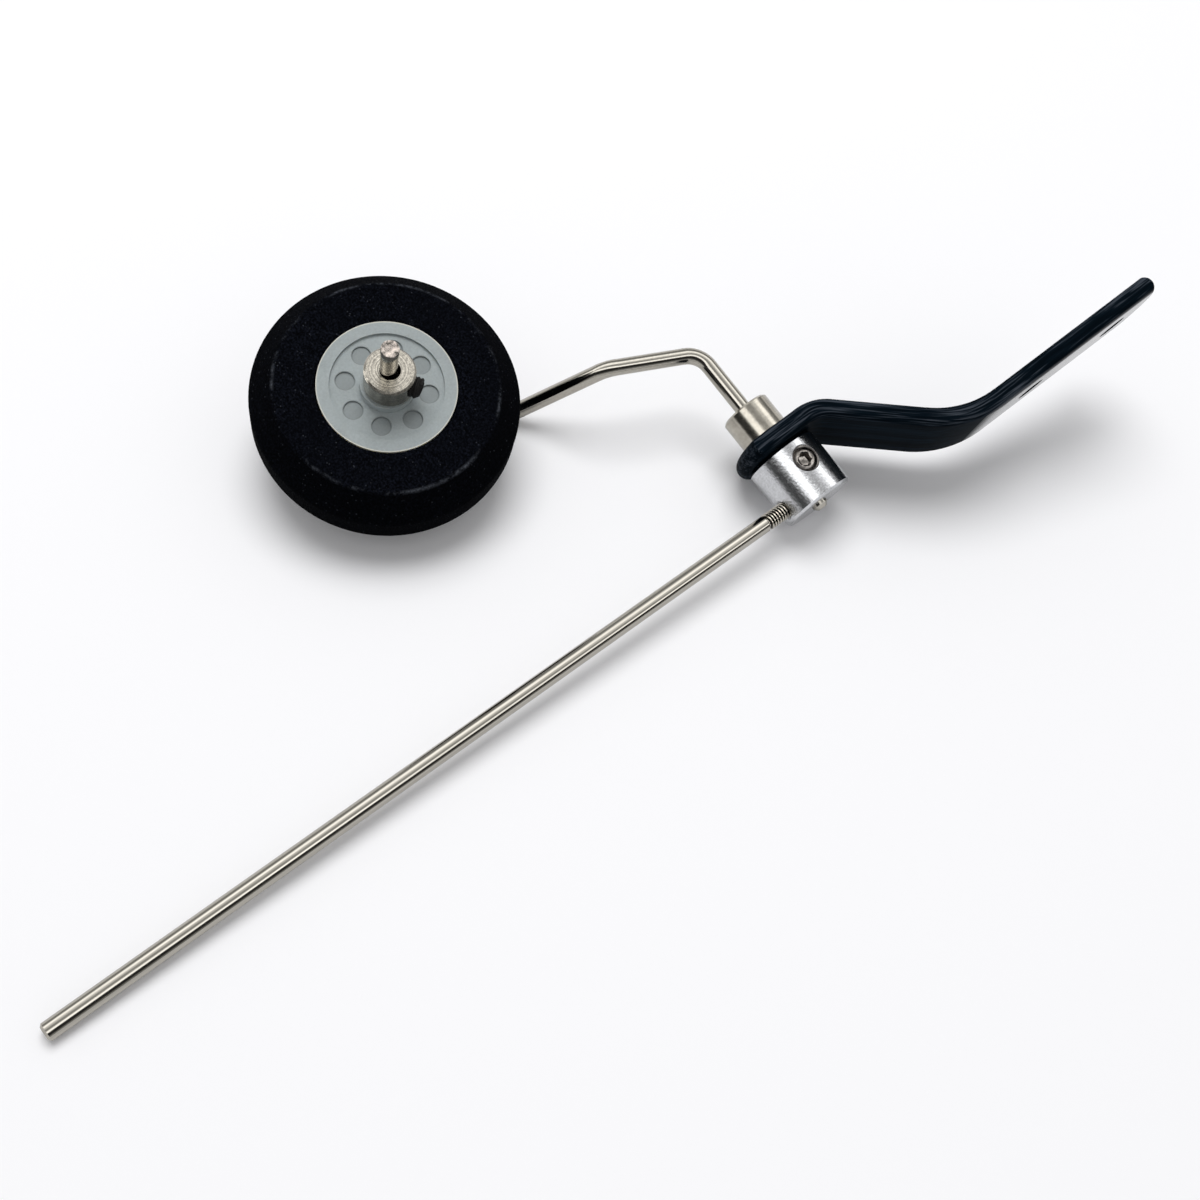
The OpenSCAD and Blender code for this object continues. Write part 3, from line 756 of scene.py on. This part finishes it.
def loft(mesh, rings):
    """Draws a closed body in an empty bmesh, from ring to ring, by extruding a circle of edges."""
    verts = bmesh.ops.create_circle(mesh, segments=48, radius=1.0)["verts"]
    edges = mesh.edges[:]
    bmesh.ops.contextual_create(mesh, geom=edges)
    for count, ring in enumerate(rings):
        if count:
            grown = bmesh.ops.extrude_edge_only(mesh, edges=edges)["geom"]
            verts = [item for item in grown if isinstance(item, bmesh.types.BMVert)]
            edges = [item for item in grown if isinstance(item, bmesh.types.BMEdge)]
        for vert in verts:
            vert.co = ring(math.atan2(vert.co.y, vert.co.x))
    bmesh.ops.contextual_create(mesh, geom=edges)


def wind_thread(mesh, low, high, root, crest, pitch):
    """Winds a thread's ridge round the Z axis, from the low height to the high one."""
    turns = int((high - low) / pitch)
    steps = 28
    section = (
        (root, 0, low),
        (crest, 0, low + pitch * 0.32),
        (crest, 0, low + pitch * 0.58),
        (root, 0, low + pitch * 0.9),
    )
    ridge = bmesh.new()
    bmesh.ops.contextual_create(ridge, geom=outline(ridge, section))
    whole = ridge.verts[:] + ridge.edges[:] + ridge.faces[:]
    bmesh.ops.spin(ridge, geom=whole, cent=(0, 0, 0), axis=(0, 0, 1), dvec=(0, 0, pitch / steps),
                   angle=turns * math.tau, steps=turns * steps)
    bmesh.ops.recalc_face_normals(ridge, faces=ridge.faces)
    data = bpy.data.meshes.new("ridge")
    ridge.to_mesh(data)
    ridge.free()
    mesh.from_mesh(data)
    bpy.data.meshes.remove(data)


def set_screw(name, node, place, diameter, reach, across, material):
    """Makes a threaded set screw with a cupped rim and a hexagon socket, in place of its plain solid."""
    sizes, _ = settings()
    crest = diameter / 2
    root = crest - 0.12 * MM
    rim = 0.24 * MM
    mouth = across / math.sqrt(3) + 0.08 * MM
    tip = sizes.screw_start
    bottom = reach - sizes.socket_depth
    mesh = bmesh.new()
    loft(mesh, (
        circle_ring(root * 0.6, tip),
        circle_ring(root, tip + 0.4 * MM),
        circle_ring(root, reach - rim * 1.4),
        circle_ring(root - rim, reach - 0.04 * MM),
        circle_ring(root - rim * 1.15, reach),
        circle_ring(mouth, reach - 0.02 * MM),
        hex_ring(across, reach - 0.14 * MM),
        hex_ring(across, bottom),
        circle_ring(across * 0.2, bottom - 0.2 * MM),
    ))
    wind_thread(mesh, tip + 0.3 * MM, reach - rim, root - 0.03 * MM, crest, sizes.screw_pitch)
    bmesh.ops.transform(mesh, matrix=place, verts=mesh.verts)
    piece = finish_mesh(mesh, name, material, "steering", smooth_angle=32)
    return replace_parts(piece, node)


def set_camera(scene):
    """Sets up the photograph's camera."""
    data = bpy.data.cameras.new("photo_camera")
    data.sensor_width = 36.0
    data.lens = CAMERA_LENS
    data.clip_start = 0.01
    camera = bpy.data.objects.new("photo_camera", data)
    camera.matrix_world = Matrix.Translation(CAMERA_POS) @ CAMERA_TURN
    scene.collection.objects.link(camera)
    scene.camera = camera


def lay_table(colour):
    """Lays the table under the part, as the part lies in the photograph."""
    place = frame_along(TABLE_MIDDLE - TABLE_NORMAL * TABLE_MIDDLE.dot(TABLE_NORMAL), TABLE_NORMAL)
    mesh = bmesh.new()
    bmesh.ops.create_grid(mesh, x_segments=1, y_segments=1, size=TABLE_HALF)
    bmesh.ops.transform(mesh, matrix=place, verts=mesh.verts)
    table = make_object(mesh, "table_top", table_top(colour, place))
    table.visible_diffuse = False
    table.visible_shadow = False
    table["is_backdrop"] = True
    lie_under(table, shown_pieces(), TABLE_NORMAL, TABLE_GAP)


def hang_lamp(scene):
    """Hangs the soft lamp, which the metal does not mirror."""
    light = bpy.data.lights.new("soft_lamp", "AREA")
    light.shape = "DISK"
    light.size = LAMP_SIZE
    light.energy = LAMP_POWER
    lamp = bpy.data.objects.new("soft_lamp", light)
    lamp.location = LIGHT_MIDDLE + LAMP_OFFSET
    lamp.rotation_euler = (-LAMP_OFFSET).to_track_quat("-Z", "Y").to_euler()
    lamp.visible_glossy = False
    scene.collection.objects.link(lamp)


def pitch_tent():
    """Pitches half a dome of cloth on the camera's side, which only polished metal mirrors."""
    mesh = bmesh.new()
    bmesh.ops.create_uvsphere(mesh, u_segments=48, v_segments=24, radius=TENT_R)
    bmesh.ops.bisect_plane(mesh, geom=mesh.verts[:] + mesh.edges[:] + mesh.faces[:], plane_co=(0, 0, 0),
                           plane_no=(0, 1, 0), clear_inner=True)
    bmesh.ops.translate(mesh, verts=mesh.verts, vec=LIGHT_MIDDLE)
    tent = make_object(mesh, "light_tent", tent_cloth(Matrix.Translation(LIGHT_MIDDLE) @ CAMERA_TURN))
    tent.visible_camera = False
    tent.visible_diffuse = False
    tent.visible_shadow = False
    tent.visible_transmission = False
    tent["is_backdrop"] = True


def light_world(scene):
    """Makes the world white where it is seen or mirrored, and plainer for the light that it gives."""
    world = bpy.data.worlds.new("studio")
    world.use_nodes = True
    scene.world = world
    tree = world.node_tree
    ray = add(tree, "ShaderNodeLightPath", {})
    direct = add(tree, "ShaderNodeMath", {
        0: ray.outputs["Is Camera Ray"], 1: ray.outputs["Is Glossy Ray"],
    }, operation="MAXIMUM")
    seen = add(tree, "ShaderNodeMath", {
        0: direct.outputs[0], 1: ray.outputs["Is Transmission Ray"],
    }, operation="MAXIMUM")
    level = add(tree, "ShaderNodeMapRange", {
        "Value": seen.outputs[0], "To Min": WORLD_LEVEL, "To Max": 1.0,
    })
    feed(tree, tree.nodes["Background"], {
        "Color": (1.0, 1.0, 1.0, 1.0), "Strength": level.outputs["Result"],
    })


class TAILWHEEL_OT_leaf(bpy.types.Operator):
    """Finish the carbon leaf and the bush in it"""

    bl_idname = "tailwheel.leaf"
    bl_label = "Leaf and bush"

    def execute(self, context):
        _, colours = settings()
        paint("leaf_bracket", carbon_laminate(colours.carbon))
        brass = turned_metal("Turned brass", colours.brass, frame_along(PIVOT, UP), pitch=0.15,
                             roughness=0.3, depth=0.3, blotch=0.9, grit=0.0, score=0.2)
        paint("pivot_bush", brass)
        return {"FINISHED"}


class TAILWHEEL_OT_wires(bpy.types.Operator):
    """Finish the strut wire and the tiller rod"""

    bl_idname = "tailwheel.wires"
    bl_label = "Strut and tiller wires"

    def execute(self, context):
        _, colours = settings()
        bent = drawn_wire("Bent spring wire", colours.wire, frame_along(PIVOT, UP), stretch=1.0)
        rod = frame_along(ROD_START, ROD_DIR)
        straight = drawn_wire("Drawn bright rod", colours.wire, rod, stretch=0.01)
        paint("strut_wire", bent)
        paint("tiller_rod", straight)
        return {"FINISHED"}


class TAILWHEEL_OT_axle_end(bpy.types.Operator):
    """Tear the snipped end of the axle"""

    bl_idname = "tailwheel.axle_end"
    bl_label = "Snipped axle end"

    def execute(self, context):
        sizes, colours = settings()
        radius = sizes.wire_d / 2
        top = sizes.axle_end

        def torn(share, rough):
            """A ring of the torn face, at a share of the wire's radius."""
            def place(angle):
                reach = radius * share
                spot = Vector((math.cos(angle), math.sin(angle), share * 3)) * 1.7
                lift = rough * noise.noise(spot)
                return Vector((reach * math.cos(angle), reach * math.sin(angle), top + 0.08 * MM + lift))
            return place

        # a little wider than the wire, so that it covers the wire's flat end
        sleeve = [circle_ring(radius * 1.015, top - 0.85 * MM), circle_ring(radius * 1.022, top - 0.1 * MM)]
        mesh = bmesh.new()
        loft(mesh, sleeve + [torn(share, rough * MM) for share, rough in TORN_RINGS])
        bmesh.ops.transform(mesh, matrix=WHEEL, verts=mesh.verts)
        material = snipped_metal(colours.wire, top)
        finish_mesh(mesh, "axle_cut_end", material, "steering", smooth_angle=40)
        return {"FINISHED"}


class TAILWHEEL_OT_rod_thread(bpy.types.Operator):
    """Roll the thread on the tiller rod where it enters the hub"""

    bl_idname = "tailwheel.rod_thread"
    bl_label = "Rod thread"

    def execute(self, context):
        sizes, colours = settings()
        place = frame_along(ROD_START, ROD_DIR)
        root = sizes.thread_root_d / 2
        crest = sizes.thread_d / 2
        mesh = bmesh.new()
        wind_thread(mesh, sizes.thread_start, sizes.thread_end, root, crest, sizes.thread_pitch)
        bmesh.ops.transform(mesh, matrix=place, verts=mesh.verts)
        material = rolled_thread(colours.wire, place, root, crest)
        finish_mesh(mesh, "tiller_thread", material, "steering", smooth_angle=50)
        return {"FINISHED"}


class TAILWHEEL_OT_steering_hub(bpy.types.Operator):
    """Finish the steering hub and its set screw"""

    bl_idname = "tailwheel.steering_hub"
    bl_label = "Steering hub"

    def execute(self, context):
        sizes, colours = settings()
        bright = turned_metal("Machined aluminium", colours.aluminium, frame_along(PIVOT, UP), pitch=0.12,
                              roughness=0.2, depth=0.08, blotch=0.3, grit=0.6, score=0.08)
        paint("steering_hub", bright)
        aside = Matrix.Rotation(HUB_SCREW_TURN, 3, UP) @ UP.cross(-ROD_DIR)
        screw = frame_along(PIVOT + UP * sizes.hub_screw_h, aside)
        steel = screw_steel("Bright screw steel", colours.screw, screw)
        set_screw("hub_set_screw", "steering_hub_screw", screw, sizes.hub_screw_d, sizes.hub_screw_out,
                  sizes.hub_socket, steel)
        return {"FINISHED"}


class TAILWHEEL_OT_collars(bpy.types.Operator):
    """Finish the two plated collars and their screws"""

    bl_idname = "tailwheel.collars"
    bl_label = "Collars"

    def execute(self, context):
        sizes, colours = settings()
        upright = frame_along(PIVOT, UP)
        # one nickel plate in two copies: painted darker as shade on the pivot collar and lighter as painted
        # light on the axle collar
        smooth = turned_metal("Nickel plate on the pivot", rgba(colours.nickel, 0.86), upright, pitch=0.14,
                              roughness=0.15, depth=0.06, blotch=1.2, grit=0.08, score=0.06)
        worn = turned_metal("Nickel plate on the axle", rgba(colours.nickel, 1.2), WHEEL, pitch=0.14,
                            roughness=0.22, depth=0.35, blotch=0.3, grit=0.25, score=0.6, dull_r=2.8 * MM)
        paint("pivot_collar", smooth)
        paint("axle_collar", worn)
        black = oxide_steel(colours.oxide)
        low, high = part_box("pivot_collar")
        behind = frame_along(Vector((PIVOT.x, PIVOT.y, (low.z + high.z) / 2)), -AXLE_DIR)
        steel = screw_steel("Bright collar screw", colours.screw, behind)
        set_screw("pivot_set_screw", "pivot_collar_screw", behind, sizes.hub_screw_d,
                  sizes.collar_screw_out, sizes.hub_socket, steel)
        outwards = AHEAD * math.cos(AXLE_SCREW_TURN) + UP * math.sin(AXLE_SCREW_TURN)
        beside = frame_along(AXLE + AXLE_DIR * sizes.axle_screw_z, outwards)
        set_screw("axle_set_screw", "axle_collar_screw", beside, sizes.axle_screw_d, sizes.axle_screw_out,
                  sizes.axle_socket, black)
        return {"FINISHED"}


class TAILWHEEL_OT_wheel_hub(bpy.types.Operator):
    """Finish the two moulded halves of the wheel hub"""

    bl_idname = "tailwheel.wheel_hub"
    bl_label = "Wheel hub"

    def execute(self, context):
        _, colours = settings()
        nylon = moulded_nylon(colours.nylon)
        paint("wheel_hub_outer", nylon)
        paint("wheel_hub_inner", nylon)
        return {"FINISHED"}


class TAILWHEEL_OT_tyre(bpy.types.Operator):
    """Mould the foam tyre with soft edges"""

    bl_idname = "tailwheel.tyre"
    bl_label = "Foam tyre"

    def execute(self, context):
        sizes, colours = settings()
        half = sizes.tyre_w / 2
        seat = half - sizes.rim_seat_t
        seat_r = sizes.rim_seat_d / 2
        side_r = sizes.tyre_side_d / 2
        slack = 0.1 * MM

        def softened(edge):
            """True for the rings at the sides and the tread, not for the bore's or the seat's corner."""
            start, end = edge.verts[0].co, edge.verts[1].co
            ring = abs(start.z - end.z) < 0.0001 * MM
            bent = edge.calc_face_angle(0) > math.radians(20)
            outside = start.xy.length > seat_r - slack
            corner = start.xy.length < seat_r + slack and abs(start.z) < half - slack
            return ring and bent and outside and not corner

        flank = [
            (sizes.tyre_bore_d / 2, seat), (seat_r, seat), (seat_r, half),
            (side_r, half), (sizes.tyre_d / 2, sizes.tread_w / 2),
        ]
        around = flank + [(r, -z) for r, z in reversed(flank)]
        mesh = bmesh.new()
        geom = outline(mesh, [(r, 0, z) for r, z in around])
        bmesh.ops.spin(mesh, geom=geom, cent=(0, 0, 0), axis=(0, 0, 1), angle=math.tau, steps=144,
                       use_merge=True)
        weld(mesh)
        soft = [edge for edge in mesh.edges if softened(edge)]
        bmesh.ops.bevel(mesh, geom=soft, offset=sizes.tyre_round, offset_type="OFFSET", affect="EDGES",
                        segments=4, profile=0.5, material=-1)
        bmesh.ops.transform(mesh, matrix=WHEEL, verts=mesh.verts)
        foam = closed_cell_foam(colours.foam, side_r)
        tyre = finish_mesh(mesh, "foam_tyre", foam, "wheel", smooth_angle=30)
        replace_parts(tyre, "tyre")
        return {"FINISHED"}


class TAILWHEEL_OT_stage(bpy.types.Operator):
    """Set the table, the lights, the world and the camera"""

    bl_idname = "tailwheel.stage"
    bl_label = "Studio stage"

    def execute(self, context):
        _, colours = settings()
        scene = context.scene
        scene.view_settings.view_transform = "Standard"
        set_camera(scene)
        lay_table(colours.floor)
        hang_lamp(scene)
        pitch_tent()
        light_world(scene)
        return {"FINISHED"}


class VIEW3D_PT_tailwheel(bpy.types.Panel):
    """Lists the steps and the values a user would change"""

    bl_label = "Tailwheel"
    bl_space_type = "VIEW_3D"
    bl_region_type = "UI"
    bl_category = "Tailwheel"

    def draw(self, context):
        layout = self.layout
        for operator in OPERATORS:
            layout.operator(operator.bl_idname)
        for group in settings():
            for name in group.__annotations__:
                layout.prop(group, name)


OPERATORS = (
    TAILWHEEL_OT_leaf,
    TAILWHEEL_OT_wires,
    TAILWHEEL_OT_axle_end,
    TAILWHEEL_OT_rod_thread,
    TAILWHEEL_OT_steering_hub,
    TAILWHEEL_OT_collars,
    TAILWHEEL_OT_wheel_hub,
    TAILWHEEL_OT_tyre,
    TAILWHEEL_OT_stage,
)
CLASSES = (TailwheelSizes, TailwheelColours) + OPERATORS + (VIEW3D_PT_tailwheel,)


def register():
    """Adds the classes and the settings to Blender."""
    for item in CLASSES:
        bpy.utils.register_class(item)
    bpy.types.Scene.tailwheel_sizes = PointerProperty(type=TailwheelSizes)
    bpy.types.Scene.tailwheel_colours = PointerProperty(type=TailwheelColours)


def unregister():
    """Takes the settings and the classes out again."""
    del bpy.types.Scene.tailwheel_colours
    del bpy.types.Scene.tailwheel_sizes
    for item in reversed(CLASSES):
        bpy.utils.unregister_class(item)


def main():
    """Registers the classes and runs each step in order."""
    register()
    for operator in OPERATORS:
        group, step = operator.bl_idname.split(".")
        getattr(getattr(bpy.ops, group), step)()


if __name__ == "__main__":
    main()
